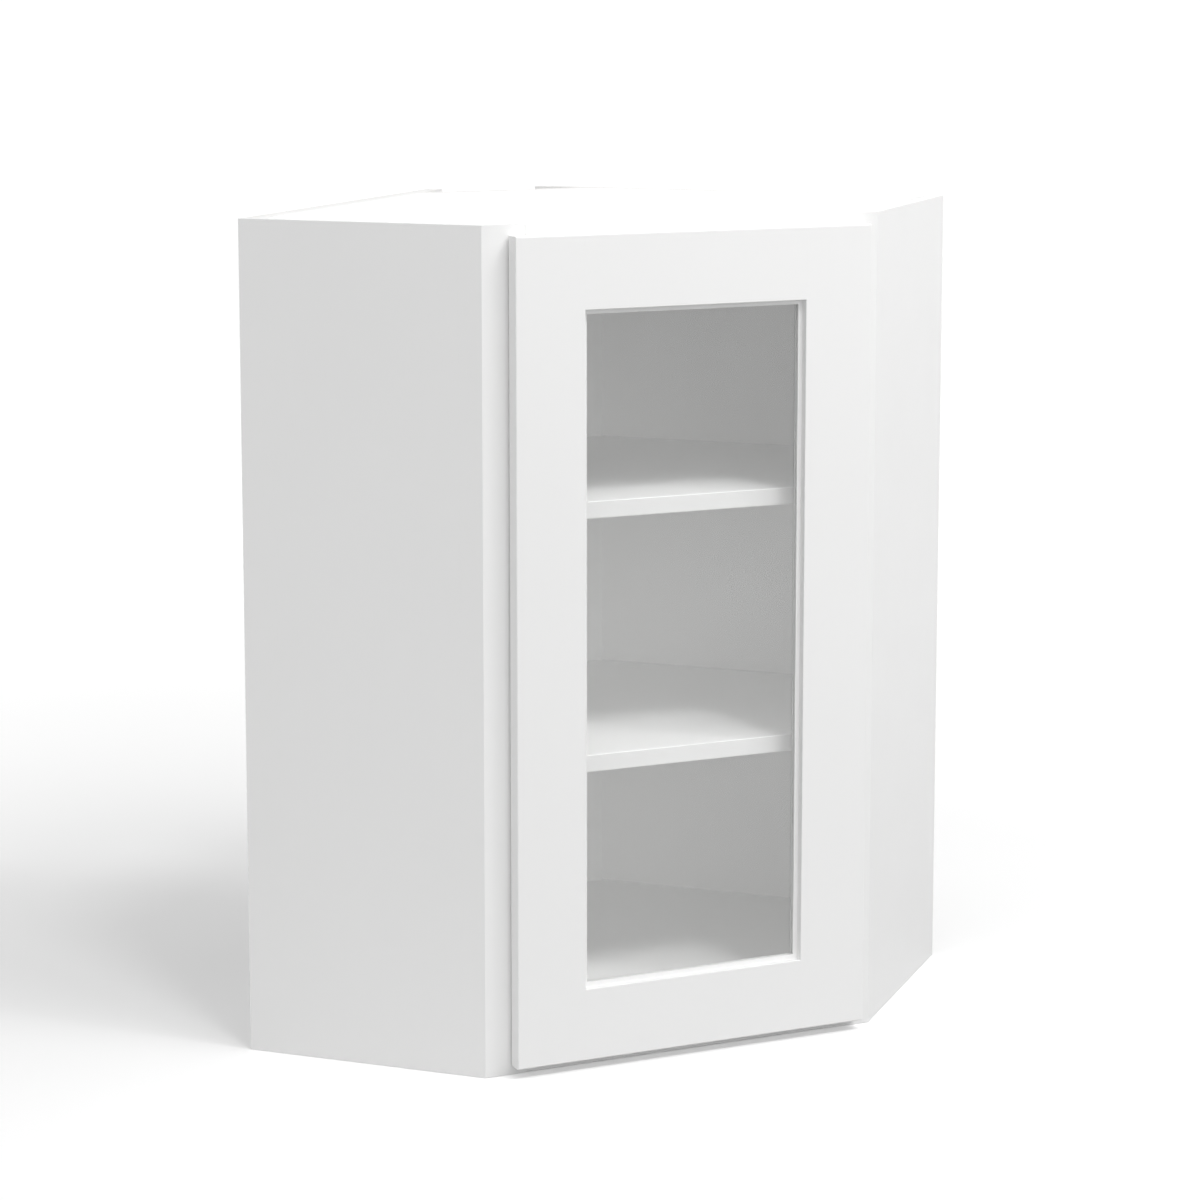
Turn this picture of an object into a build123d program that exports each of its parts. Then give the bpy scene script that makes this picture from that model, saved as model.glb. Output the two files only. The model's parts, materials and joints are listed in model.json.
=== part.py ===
from build123d import *
import os
from math import sqrt

os.makedirs("parts", exist_ok=True)

# Diagonal corner wall cabinet with one glazed door. Millimetres, +Z up, the door faces -Y.
# The origin is the middle of the plan outline, at the level of the lower rim.
# A place beside a wall is given by run, the distance along the wall from the room corner,
# and out, the distance from the wall. Side -1 is the left half and side 1 the right half.

# Overall size
wall_run = 609.6  # room corner to the outer face of a side panel
side_return = 279.4  # how far each side stands out from its wall
cabinet_height = 914.4

# Case
panel_t = 12.7  # sides, top and bottom
dado_depth = 4.0  # how deep the top and bottom are let into the sides
bottom_rail_face = 60.0  # lower rim of the case up to its inside floor
top_rail_face = 42.2  # inside ceiling up to the upper rim
back_t = 6.35
wall_rail_t = 19.05
wall_rail_height = 76.2
wall_rail_start = 105.0  # run at which the wall rails begin
clip_run = 183.1  # run at which the clipped corner meets the walls

# Face frame
frame_t = 19.05
frame_stile_face = 49.4
frame_ease = 1.0
frame_tenon_length = 9.5
frame_tenon_t = 6.35
tenon_shoulder = 12.0

# Shelves and their supports
shelf_t = 19.05
shelf_names = ("lower_shelf", "upper_shelf")
shelf_clearance = 1.5
shelf_setback = 3.0  # from the back of the face frame
shelf_ease = 1.2
pin_r = 2.5
pin_fit = 0.05
side_pin_length = 8.0
back_pin_length = 6.0
pin_drop = 6.0  # pin centre below the shelf
pin_plate_t = 1.6
pin_plate_width = 10.0
pin_reach = 10.0
rear_pin_out = 60.0  # places of the side supports, measured from the wall
front_pin_out = 230.0
back_pin_run = 240.0  # place of the back supports, measured from the room corner

# Door
latch_overlay = 20.15  # how far the door laps over the frame's opening, latch side
end_reveal = 11.1  # frame left showing above and below the door
door_gap = 2.0
door_t = 19.05
door_ease = 1.5
rail_face = 79.4  # face width of the door's stiles and rails
step_depth = 8.5  # square step round the opening, from the front
step_ease = 1.0
lip_width = 5.0
lip_t = 3.0
rabbet_width = 9.5  # the beads fill it, flush with the lip
door_tenon_length = 12.7
door_tenon_t = 6.35
glass_t = 3.0
glass_clearance = 1.0
bead_recess = 0.5
bead_ease = 2.5  # at most two thirds of the bead's depth
bumper_r = 4.5
bumper_inset = 14.0
bumper_clearance = 0.3

# Concealed hinges
hinge_inset = 95.0  # hinge centre from the end of the door
cup_r = 17.5
cup_fit = 0.15
cup_tab = 3.0  # wood left between the cup bore and the door's edge
cup_wall = 0.8
cup_floor = 1.0
cup_depth = 12.7
leg_clearance = 2.7  # between the cup's inner wall and the arm's leg
flange_lip = 1.0  # flange past the edge of the cup bore
flange_t = 1.0
flange_trim = 3.0  # flange kept past the pivot
wing_r = 6.5
wing_back = 9.5
wing_spacing = 45.0
pivot_inset = 3.3  # pivot from the edge of the cup bore
pivot_rise = 3.7  # pivot above the cup's floor
pivot_r = 1.0
pivot_fit = 0.05
knuckle_r = 1.7
neck_half = 3.2
ear_gap = 0.5
ear_t = 1.5
ear_r = 2.2
arm_t = 1.8
arm_half = 6.0
leg_half = 9.0
neck_run = 5.4  # length over which the neck slopes down from the pivot
neck_floor_gap = 0.55  # then it runs this far above the cup's floor
neck_end = 10.5  # the arm is narrow up to here, from the pivot
arm_bend = 1.9
leg_corner = 3.0
plate_t = 1.8
plate_height = 56.0
plate_margin = 1.2
plate_corner = 5.0
plate_screw_spacing = 40.0
slot_length = 9.0
screw_r = 1.6
screw_head_r = 3.2
screw_head_depth = 1.6
screw_fit = 0.05
cup_screw_length = 10.0
plate_screw_length = 16.0
arm_screw_r = 2.0
arm_screw_head_r = 4.0
arm_screw_head_t = 2.2
arm_screw_length = 16.0

# Planes and edges that several pieces share
front_to_corner = (wall_run + side_return) / sqrt(2)
corner_y = (front_to_corner + door_gap + door_t + wall_rail_start / sqrt(2)) / 2
front_y = corner_y - front_to_corner
frame_back_y = front_y + frame_t
face_half = (wall_run - side_return) / sqrt(2)
opening_half = face_half - frame_stile_face
inner_run = wall_run - panel_t
back_out = wall_rail_t + back_t
clip_y = corner_y - clip_run / sqrt(2)
clip_rail_y = clip_y - wall_rail_t
clip_inner_y = clip_rail_y - back_t
floor_z = bottom_rail_face
ceiling_z = cabinet_height - top_rail_face
bay_height = (ceiling_z - floor_z - len(shelf_names) * shelf_t) / (len(shelf_names) + 1)
shelf_lows = [floor_z + bay_height * (n + 1) + shelf_t * n for n in range(len(shelf_names))]

cup_inner_r = cup_r - cup_fit - cup_wall
hinge_overlay = cup_tab + cup_r + cup_inner_r - leg_clearance - arm_t - plate_t
door_left = -opening_half - latch_overlay
door_right = opening_half + hinge_overlay
door_low = end_reveal
door_high = cabinet_height - end_reveal
door_middle = ((door_left + door_right) / 2, (door_low + door_high) / 2)
door_width = door_right - door_left
door_height = door_high - door_low
door_back_y = front_y - door_gap
door_front_y = door_back_y - door_t
glass_seat_y = door_front_y + step_depth + lip_t
rabbet_edge = rail_face + lip_width - rabbet_width

hinge_heights = [door_low + hinge_inset, door_high - hinge_inset]
cup_x = door_right - cup_tab - cup_r
flange_r = cup_r + flange_lip
cup_floor_y = door_back_y - cup_depth + cup_floor
pivot_x = cup_x + cup_r - pivot_inset
pivot_y = cup_floor_y + pivot_rise
leg_x = opening_half - plate_t - arm_t
frame_middle_y = (front_y + frame_back_y) / 2


def plan(side, run, out):
    return (side * (run - out) / sqrt(2), corner_y - (run + out) / sqrt(2))


def reach(y, other):
    # run at a given out, or out at a given run, on the line that runs across at y
    return (corner_y - y) * sqrt(2) - other


def plank(outline, low, high):
    with BuildPart() as piece:
        with BuildSketch(Plane.XY.offset(low)):
            with BuildLine():
                Polyline(*outline, close=True)
            make_face()
        extrude(amount=high - low)
    return piece.part


def save(piece, name):
    piece.label = name
    export_step(piece, f"parts/{name}.step")


# Case

def inside_outline(y, run, out, clip):
    # six-sided plan of the case, from a front edge at y back to a clipped corner at clip
    half = [
        (run, reach(y, run)),
        (run, out),
        (reach(clip, out), out),
    ]
    right = [plan(1, *point) for point in half]
    left = [plan(-1, *point) for point in reversed(half)]
    return right + left


def deck(low):
    outline = inside_outline(frame_back_y, inner_run + dado_depth, back_out, clip_inner_y)
    return plank(outline, low, low + panel_t)


def shelf(low):
    outline = inside_outline(
        frame_back_y + shelf_setback,
        inner_run - shelf_clearance,
        back_out + shelf_clearance,
        clip_inner_y - shelf_clearance,
    )
    with BuildPart() as board:
        add(plank(outline, low, low + shelf_t))
        fillet(board.edges().filter_by(Axis.X).group_by(Axis.Y)[0], shelf_ease)
    return board.part


def wall_rail(side, low):
    outline = [
        plan(side, wall_rail_start, 0),
        plan(side, inner_run, 0),
        plan(side, inner_run, wall_rail_t),
        plan(side, wall_rail_start, wall_rail_t),
    ]
    return plank(outline, low, low + wall_rail_height)


def clip_outline(near_y, far_y):
    # a board across the clipped corner, its ends bevelled against the wall rails
    ends = [(reach(near_y, wall_rail_t), wall_rail_t), (reach(far_y, wall_rail_t), wall_rail_t)]
    return [plan(1, *ends[0]), plan(1, *ends[1]), plan(-1, *ends[1]), plan(-1, *ends[0])]


def support_planes(low):
    # one plane for each support: centred on its hole, facing into the cabinet, upright
    planes = {"side": [], "back": []}
    for side in (-1, 1):
        into_room = Vector(-side, -1, 0).normalized()
        from_side = Vector(-side, 1, 0).normalized()
        for out in (rear_pin_out, front_pin_out):
            x, y = plan(side, inner_run, out)
            planes["side"].append(upright(x, y, low - pin_drop, from_side))
        x, y = plan(side, back_pin_run, back_out)
        planes["back"].append(upright(x, y, low - pin_drop, into_room))
    return planes


def upright(x, y, z, facing):
    return Plane(origin=(x, y, z), x_dir=Vector(0, 0, 1).cross(facing), z_dir=facing)


def shelf_pins(low):
    planes = support_planes(low)
    with BuildPart() as pins:
        for kind, length in (("side", side_pin_length), ("back", back_pin_length)):
            for plane in planes[kind]:
                with BuildSketch(plane):
                    Circle(pin_r)
                extrude(amount=-length)
                with BuildSketch(plane):
                    with Locations((0, pin_drop)):
                        Rectangle(pin_plate_width, 2 * pin_drop, align=(Align.CENTER, Align.MAX))
                extrude(amount=pin_plate_t)
                with BuildSketch(plane):
                    with Locations((0, pin_drop)):
                        Rectangle(pin_plate_width, pin_plate_t, align=(Align.CENTER, Align.MAX))
                extrude(amount=pin_reach)
    return pins.part


def pin_holes(kind, side, depth):
    # what is drilled out of one panel for the supports of every shelf
    with BuildPart() as holes:
        for low in shelf_lows:
            for plane in support_planes(low)[kind]:
                if plane.origin.X * side > 0:
                    with BuildSketch(plane):
                        Circle(pin_r + pin_fit)
                    extrude(amount=-depth)
    return holes.part


def side_panel(side, decks):
    outline = [
        plan(side, wall_run, 0),
        plan(side, wall_run, reach(frame_back_y, wall_run)),
        plan(side, inner_run, reach(frame_back_y, inner_run)),
        plan(side, inner_run, 0),
    ]
    with BuildPart() as panel:
        add(plank(outline, 0, cabinet_height))
        for piece in decks:
            add(piece, mode=Mode.SUBTRACT)
        add(pin_holes("side", side, side_pin_length + pin_fit), mode=Mode.SUBTRACT)
    return panel.part


def back_panel(side):
    outline = [
        plan(side, reach(clip_inner_y, wall_rail_t), wall_rail_t),
        plan(side, inner_run, wall_rail_t),
        plan(side, inner_run, back_out),
        plan(side, reach(clip_inner_y, back_out), back_out),
    ]
    with BuildPart() as panel:
        add(plank(outline, 0, cabinet_height))
        add(pin_holes("back", side, back_t), mode=Mode.SUBTRACT)
    return panel.part


# Face frame

def frame_rail(low, high):
    middle = (0, (low + high) / 2)
    with BuildPart() as rail:
        with BuildSketch(Plane.XZ.offset(-frame_back_y)):
            with Locations(middle):
                Rectangle(2 * opening_half, high - low)
        extrude(amount=frame_t)
        fillet(rail.edges().filter_by(Axis.X).group_by(Axis.Y)[0], frame_ease)
        with BuildSketch(Plane.XZ.offset(-frame_middle_y)):
            with Locations(middle):
                Rectangle(2 * (opening_half + frame_tenon_length), high - low - 2 * tenon_shoulder)
        extrude(amount=frame_tenon_t / 2, both=True)
    return rail.part


def frame_stile(side, cutters):
    with BuildPart() as stile:
        with BuildSketch() as outline:
            with BuildLine():
                Polyline(
                    (side * face_half, front_y),
                    (side * opening_half, front_y),
                    (side * opening_half, frame_back_y),
                    (side * (face_half + frame_t), frame_back_y),
                    close=True,
                )
            make_face()
            fillet(outline.vertices().group_by(Axis.Y)[0], frame_ease)
        extrude(amount=cabinet_height)
        for piece in cutters:
            add(piece, mode=Mode.SUBTRACT)
    return stile.part


# Door

def door_blank():
    with BuildPart() as blank:
        with BuildSketch(Plane.XZ.offset(-door_back_y)):
            with Locations(door_middle):
                Rectangle(door_width, door_height)
        extrude(amount=door_t)
        fillet(blank.edges().filter_by(Axis.Y, reverse=True), door_ease)
    return blank.part


def moulding(outer, inward):
    # section of a door stile or rail: (place across the door, y), starting at the outer edge
    section = [
        (0, 0),
        (rail_face, 0),
        (rail_face, step_depth),
        (rail_face + lip_width, step_depth),
        (rail_face + lip_width, step_depth + lip_t),
        (rabbet_edge, step_depth + lip_t),
        (rabbet_edge, door_t),
        (0, door_t),
    ]
    return [(outer + inward * across, door_front_y + deep) for across, deep in section]


def door_stile_blank(outer, inward, blank):
    points = moulding(outer, inward)
    with BuildPart() as stile:
        with BuildSketch(Plane.XY.offset(door_low)) as outline:
            with BuildLine():
                Polyline(*points, close=True)
            make_face()
            fillet(outline.vertices().sort_by_distance(points[1])[0], step_ease)
        extrude(amount=door_height)
        add(blank, mode=Mode.INTERSECT)
    return stile.part


def door_rail(outer, inward, blank, stile_blanks):
    points = [(y, z) for z, y in moulding(outer, inward)]
    with BuildPart() as rail:
        with BuildSketch(Plane.YZ.offset(door_left + rabbet_edge)) as outline:
            with BuildLine():
                Polyline(*points, close=True)
            make_face()
            fillet(outline.vertices().sort_by_distance(points[1])[0], step_ease)
        extrude(amount=door_width - 2 * rabbet_edge)
        add(blank, mode=Mode.INTERSECT)
        for stile in stile_blanks:
            add(stile, mode=Mode.SUBTRACT)
        with BuildSketch(Plane.XZ.offset(-(door_front_y + door_t / 2))):
            with Locations((door_middle[0], outer + inward * rail_face / 2)):
                length = door_width - 2 * (rail_face - door_tenon_length)
                Rectangle(length, rail_face - 2 * tenon_shoulder)
        extrude(amount=door_tenon_t / 2, both=True)
    return rail.part


def door_stile(stile_blank, cutters):
    with BuildPart() as stile:
        add(stile_blank)
        for piece in cutters:
            add(piece, mode=Mode.SUBTRACT)
    return stile.part


def glass_pane():
    inset = rabbet_edge + glass_clearance
    with BuildPart() as pane:
        with BuildSketch(Plane.XZ.offset(-glass_seat_y)):
            with Locations(door_middle):
                Rectangle(door_width - 2 * inset, door_height - 2 * inset)
        extrude(amount=-glass_t)
    return pane.part


def glass_beads():
    # four mitred beads, in the order bottom, right, top, left
    left, right = door_left + rabbet_edge, door_right - rabbet_edge
    low, high = door_low + rabbet_edge, door_high - rabbet_edge
    outer = [(left, low), (right, low), (right, high), (left, high)]
    inner = [
        (left + rabbet_width, low + rabbet_width),
        (right - rabbet_width, low + rabbet_width),
        (right - rabbet_width, high - rabbet_width),
        (left + rabbet_width, high - rabbet_width),
    ]
    depth = door_t - step_depth - lip_t - glass_t - bead_recess
    back_y = door_back_y - bead_recess
    beads = []
    for n in range(4):
        after = (n + 1) % 4
        with BuildPart() as bead:
            with BuildSketch(Plane.XZ.offset(-back_y)):
                with BuildLine():
                    Polyline(outer[n], outer[after], inner[after], inner[n], close=True)
                make_face()
            extrude(amount=depth)
            x, z = [(a + b) / 2 for a, b in zip(inner[n], inner[after])]
            ease = min(bead_ease, 2 / 3 * depth)
            fillet(bead.edges().sort_by_distance((x, back_y, z))[0], ease)
        beads.append(bead.part)
    return beads


def bumper_pads():
    x = door_left + bumper_inset - bumper_r
    with BuildPart() as pads:
        with BuildSketch(Plane.XZ.offset(-door_back_y)):
            with Locations((x, door_low + bumper_inset), (x, door_high - bumper_inset)):
                Circle(bumper_r)
        extrude(amount=bumper_clearance - door_gap)
        chamfer(pads.edges().group_by(Axis.Y)[-1], (door_gap - bumper_clearance) / 2)
    return pads.part


# Concealed hinges

def flat_screws(places, length, fit=0.0):
    # countersunk screws: each place is a plane on the head's face, pointing into the wood
    low_end = (Align.CENTER, Align.CENTER, Align.MIN)
    with BuildPart(*places) as screws:
        Cylinder(screw_r + fit, length + fit, align=low_end)
        Cone(screw_head_r + fit, screw_r + fit, screw_head_depth, align=low_end)
    return screws.part


def cup_screw_places(z):
    x = cup_x - wing_back
    y = door_back_y + flange_t
    return [Plane(origin=(x, y, z + up * wing_spacing / 2), z_dir=(0, -1, 0)) for up in (-1, 1)]


def plate_screw_places(z):
    x = opening_half - plate_t
    ends = [z + up * plate_screw_spacing / 2 for up in (-1, 1)]
    return [Plane(origin=(x, frame_middle_y, end), z_dir=(1, 0, 0)) for end in ends]


def arm_screw(z, fit=0.0):
    middle = Align.CENTER
    with BuildPart(Plane(origin=(leg_x, frame_middle_y, z), z_dir=(1, 0, 0))) as screw:
        Cylinder(arm_screw_r + fit, arm_screw_length + fit, align=(middle, middle, Align.MIN))
        Cylinder(arm_screw_head_r, arm_screw_head_t, align=(middle, middle, Align.MAX))
        chamfer(screw.edges().group_by(Axis.X)[0], arm_screw_head_t / 3)
    return screw.part


def cup_bore(z):
    with BuildPart() as bore:
        with BuildSketch(Plane.XZ.offset(-door_back_y)):
            with Locations((cup_x, z)):
                Circle(cup_r)
        extrude(amount=cup_depth + cup_fit)
    return bore.part


def ears(z):
    # two cheeks on the cup's floor that carry the pivot on both sides of the knuckle
    low = cup_floor_y
    with BuildPart() as cheeks:
        for up in (-1, 1):
            near = z + up * (neck_half + ear_gap)
            with BuildSketch(Plane.XY.offset(near)):
                with Locations((pivot_x, pivot_y)):
                    Circle(ear_r)
                with Locations((pivot_x, low)):
                    Rectangle(2 * ear_r, pivot_y - low, align=(Align.CENTER, Align.MIN))
                with Locations((pivot_x, low)):
                    Rectangle(cup_r, pivot_y - low + ear_r, align=(Align.MIN, Align.MIN))
            extrude(amount=up * ear_t)
        with BuildSketch(Plane.XZ.offset(-low)):
            with Locations((cup_x, z)):
                Circle(cup_inner_r + cup_wall / 2)
        extrude(amount=-cup_depth, mode=Mode.INTERSECT)
    return cheeks.part


def hinge_cup(z):
    with BuildPart() as cup:
        with BuildSketch(Plane.XZ.offset(-door_back_y)):
            with Locations((cup_x, z)):
                Circle(cup_r - cup_fit)
        extrude(amount=cup_depth)
        with BuildSketch(Plane.XZ.offset(-door_back_y)):
            with Locations(*[(cup_x - wing_back, z + up * wing_spacing / 2) for up in (-1, 1)]):
                Circle(wing_r)
            with Locations((cup_x - wing_back / 2, z)):
                Circle(flange_r - wing_back / 2)
            make_hull()
            with Locations((cup_x, z)):
                Circle(flange_r)
            with Locations((pivot_x + flange_trim, z)):
                Rectangle(flange_r, 3 * flange_r, align=(Align.MIN, Align.CENTER), mode=Mode.SUBTRACT)
        extrude(amount=-flange_t)
        with BuildSketch(Plane.XZ.offset(-cup_floor_y)):
            with Locations((cup_x, z)):
                Circle(cup_inner_r)
        extrude(amount=-cup_depth, mode=Mode.SUBTRACT)
        add(ears(z))
        with BuildSketch(Plane.XY.offset(z)):
            with Locations((pivot_x, pivot_y)):
                Circle(pivot_r)
        extrude(amount=neck_half + ear_gap + ear_t, both=True, mode=Mode.SUBTRACT)
        add(flat_screws(cup_screw_places(z), cup_screw_length, screw_fit), mode=Mode.SUBTRACT)
    return cup.part


def pivot_pin(z):
    with BuildPart() as pin:
        with BuildSketch(Plane.XY.offset(z)):
            with Locations((pivot_x, pivot_y)):
                Circle(pivot_r)
        extrude(amount=neck_half + ear_gap + ear_t, both=True)
    return pin.part


def hinge_arm(z):
    # gooseneck: from the pivot down along the cup's floor, then out past the stile's inner edge
    neck_y = cup_floor_y + neck_floor_gap + arm_t / 2
    leg_middle_x = leg_x + arm_t / 2
    leg_end_y = frame_back_y - plate_margin
    with BuildPart() as arm:
        with BuildSketch(Plane.XY.offset(z)):
            with BuildLine():
                FilletPolyline(
                    (pivot_x, pivot_y),
                    (pivot_x - neck_run, neck_y),
                    (leg_middle_x, neck_y),
                    (leg_middle_x, leg_end_y),
                    radius=arm_bend,
                )
            trace(line_width=arm_t)
        extrude(amount=leg_half, both=True)
        with BuildSketch(Plane.XZ.offset(-neck_y)):
            narrow_x = pivot_x - neck_end
            wide_x = narrow_x - (leg_half - neck_half)
            half = [(pivot_x, neck_half), (narrow_x, neck_half), (wide_x, leg_half), (leg_x, leg_half)]
            with BuildLine():
                Polyline(*mirrored(half, z), close=True)
            make_face()
        extrude(amount=frame_t + cup_depth, both=True, mode=Mode.INTERSECT)
        with BuildSketch(Plane.YZ.offset(leg_x)) as side_view:
            half = [(cup_floor_y, arm_half), (front_y, arm_half),
                    (front_y + leg_half - arm_half, leg_half), (leg_end_y, leg_half)]
            with BuildLine():
                Polyline(*mirrored(half, z), close=True)
            make_face()
            fillet(side_view.vertices().group_by(Axis.X)[-1], leg_corner)
        extrude(amount=pivot_x - leg_x, mode=Mode.INTERSECT)
        with BuildSketch(Plane.XY.offset(z)):
            with Locations((pivot_x, pivot_y)):
                Circle(knuckle_r)
        extrude(amount=neck_half, both=True)
        with BuildSketch(Plane.XY.offset(z)):
            with Locations((pivot_x, pivot_y)):
                Circle(pivot_r + pivot_fit)
        extrude(amount=neck_half, both=True, mode=Mode.SUBTRACT)
        with BuildSketch(Plane.YZ.offset(leg_x)):
            with Locations((frame_middle_y, z)):
                SlotOverall(slot_length, 2 * (arm_screw_r + screw_fit))
        extrude(amount=arm_t, mode=Mode.SUBTRACT)
    return arm.part


def mirrored(half, middle):
    # closes an outline whose far half is the near one reflected
    return [(x, middle + y) for x, y in half] + [(x, middle - y) for x, y in reversed(half)]


def hinge_plate(z):
    with BuildPart() as plate:
        with BuildSketch(Plane.YZ.offset(opening_half)):
            with Locations((frame_middle_y, z)):
                RectangleRounded(frame_t - 2 * plate_margin, plate_height, plate_corner)
        extrude(amount=-plate_t)
        add(flat_screws(plate_screw_places(z), plate_screw_length, screw_fit), mode=Mode.SUBTRACT)
        add(arm_screw(z, screw_fit), mode=Mode.SUBTRACT)
    return plate.part


# Case pieces

top_panel = deck(ceiling_z)
bottom_panel = deck(floor_z - panel_t)
save(top_panel, "top_panel")
save(bottom_panel, "bottom_panel")
upper_rail_z = cabinet_height - wall_rail_height
for side, word in ((-1, "left"), (1, "right")):
    save(side_panel(side, [top_panel, bottom_panel]), f"{word}_side_panel")
    save(back_panel(side), f"{word}_back_panel")
    save(wall_rail(side, 0), f"{word}_lower_wall_rail")
    save(wall_rail(side, upper_rail_z), f"{word}_upper_wall_rail")

save(plank(clip_outline(clip_inner_y, clip_rail_y), 0, cabinet_height), "corner_back_panel")
corner_rail = clip_outline(clip_rail_y, clip_y)
save(plank(corner_rail, 0, wall_rail_height), "lower_corner_rail")
save(plank(corner_rail, upper_rail_z, cabinet_height), "upper_corner_rail")

for low, name in zip(shelf_lows, shelf_names):
    save(shelf(low), name)
    save(shelf_pins(low), f"{name}_pins")

# Hinges

for z, word in zip(hinge_heights, ("lower", "upper")):
    save(hinge_cup(z), f"{word}_hinge_cup")
    save(hinge_arm(z), f"{word}_hinge_arm")
    save(pivot_pin(z), f"{word}_hinge_pin")
    save(hinge_plate(z), f"{word}_hinge_plate")
    save(arm_screw(z), f"{word}_arm_screw")
    save(flat_screws(cup_screw_places(z), cup_screw_length), f"{word}_cup_screws")
    save(flat_screws(plate_screw_places(z), plate_screw_length), f"{word}_plate_screws")

# Face frame, bored for the hinge plates

frame_rails = [frame_rail(0, floor_z), frame_rail(ceiling_z, cabinet_height)]
plate_holes = [flat_screws(plate_screw_places(z), plate_screw_length, screw_fit) for z in hinge_heights]
arm_holes = [arm_screw(z, screw_fit) for z in hinge_heights]
save(frame_rails[0], "frame_bottom_rail")
save(frame_rails[1], "frame_top_rail")
save(frame_stile(-1, frame_rails), "frame_left_stile")
save(frame_stile(1, frame_rails + plate_holes + arm_holes), "frame_right_stile")

# Door, bored for the hinge cups

blank = door_blank()
left_blank = door_stile_blank(door_left, 1, blank)
right_blank = door_stile_blank(door_right, -1, blank)
door_rails = [
    door_rail(door_low, 1, blank, [left_blank, right_blank]),
    door_rail(door_high, -1, blank, [left_blank, right_blank]),
]
cup_holes = [cup_bore(z) for z in hinge_heights]
cup_holes += [flat_screws(cup_screw_places(z), cup_screw_length, screw_fit) for z in hinge_heights]
save(door_rails[0], "door_bottom_rail")
save(door_rails[1], "door_top_rail")
save(door_stile(left_blank, door_rails), "door_left_stile")
save(door_stile(right_blank, door_rails + cup_holes), "door_right_stile")
save(glass_pane(), "glass_pane")
for bead, word in zip(glass_beads(), ("bottom", "right", "top", "left")):
    save(bead, f"{word}_glass_bead")
save(bumper_pads(), "bumper_pads")
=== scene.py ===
import json
import math
import bmesh
import bpy
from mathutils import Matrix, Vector


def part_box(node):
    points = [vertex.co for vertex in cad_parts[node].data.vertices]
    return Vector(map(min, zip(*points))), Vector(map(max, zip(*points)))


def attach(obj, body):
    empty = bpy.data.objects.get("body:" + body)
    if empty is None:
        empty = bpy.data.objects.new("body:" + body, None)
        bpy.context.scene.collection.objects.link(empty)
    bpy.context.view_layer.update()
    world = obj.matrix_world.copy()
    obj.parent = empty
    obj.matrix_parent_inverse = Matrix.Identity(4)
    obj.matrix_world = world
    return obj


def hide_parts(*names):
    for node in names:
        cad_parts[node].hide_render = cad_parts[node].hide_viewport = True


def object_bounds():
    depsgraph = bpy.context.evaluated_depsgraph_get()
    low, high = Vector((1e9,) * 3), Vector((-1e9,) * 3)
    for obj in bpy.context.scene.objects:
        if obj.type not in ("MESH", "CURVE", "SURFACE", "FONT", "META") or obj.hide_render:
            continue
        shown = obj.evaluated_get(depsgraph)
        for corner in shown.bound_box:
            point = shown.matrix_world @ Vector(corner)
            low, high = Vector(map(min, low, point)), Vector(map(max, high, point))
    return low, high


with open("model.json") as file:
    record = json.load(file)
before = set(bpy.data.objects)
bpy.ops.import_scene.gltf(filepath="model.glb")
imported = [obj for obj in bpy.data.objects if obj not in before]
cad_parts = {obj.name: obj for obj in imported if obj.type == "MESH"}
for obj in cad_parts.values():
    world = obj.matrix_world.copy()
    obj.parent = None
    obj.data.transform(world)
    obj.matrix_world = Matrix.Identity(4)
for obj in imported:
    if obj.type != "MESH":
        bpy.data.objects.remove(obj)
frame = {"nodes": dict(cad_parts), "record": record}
cadLow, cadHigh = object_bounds()
cadNodes = frame["nodes"]
scene = bpy.context.scene
print("frame:", len(cadNodes), "pieces")


# node helpers: a value may be a socket or a plain number, and a colour a socket or a plain triple
def addNode(tree, kind, **settings):
    node = tree.nodes.new(kind)
    for name, value in settings.items():
        setattr(node, name, value)
    return node


def feed(tree, target, value):
    if isinstance(value, bpy.types.NodeSocket):
        tree.links.new(value, target)
    else:
        target.default_value = value


def feedAll(tree, node, *values):  # in the order of the node's own sockets
    for socket, value in zip(node.inputs, values):
        feed(tree, socket, value)
    return node.outputs[0]


def calc(tree, operation, *values):
    return feedAll(tree, addNode(tree, "ShaderNodeMath", operation=operation), *values)


def spread(tree, value, low, high, toLow=0.0, toHigh=1.0):
    return feedAll(tree, addNode(tree, "ShaderNodeMapRange"), value, low, high, toLow, toHigh)


def stretched(tree, vector, scale):
    return feedAll(tree, addNode(tree, "ShaderNodeVectorMath", operation="MULTIPLY"), vector, scale)


def combine(tree, x, y, z):
    return feedAll(tree, addNode(tree, "ShaderNodeCombineXYZ"), x, y, z)


def dot(tree, first, second):
    node = addNode(tree, "ShaderNodeVectorMath", operation="DOT_PRODUCT")
    feedAll(tree, node, first, second)
    return node.outputs["Value"]


def splitUp(tree, vector):
    node = addNode(tree, "ShaderNodeSeparateXYZ")
    feed(tree, node.inputs[0], vector)
    return node.outputs


def faceNormal(tree):
    return addNode(tree, "ShaderNodeNewGeometry").outputs["True Normal"]


def facing(tree, axis):  # 1 where a face looks straight along the axis, -1 where it looks back
    return splitUp(tree, faceNormal(tree))[axis]


def blendColour(tree, share, first, second):
    node = addNode(tree, "ShaderNodeMix", data_type="RGBA")
    feed(tree, node.inputs["Factor"], share)
    for socket, colour in zip(node.inputs[6:8], (first, second)):  # the node's two colour sockets
        feed(tree, socket, colour if isinstance(colour, bpy.types.NodeSocket) else (*colour, 1.0))
    return node.outputs[2]


def blendShader(tree, share, first, second):
    return feedAll(tree, addNode(tree, "ShaderNodeMixShader"), share, first, second)


def noise(tree, vector, scale=1.0, detail=3.0, rough=0.5):
    node = addNode(tree, "ShaderNodeTexNoise")
    feed(tree, node.inputs["Vector"], vector)
    feed(tree, node.inputs["Scale"], scale)
    feed(tree, node.inputs["Detail"], detail)
    feed(tree, node.inputs["Roughness"], rough)
    return node.outputs["Fac"]


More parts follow.
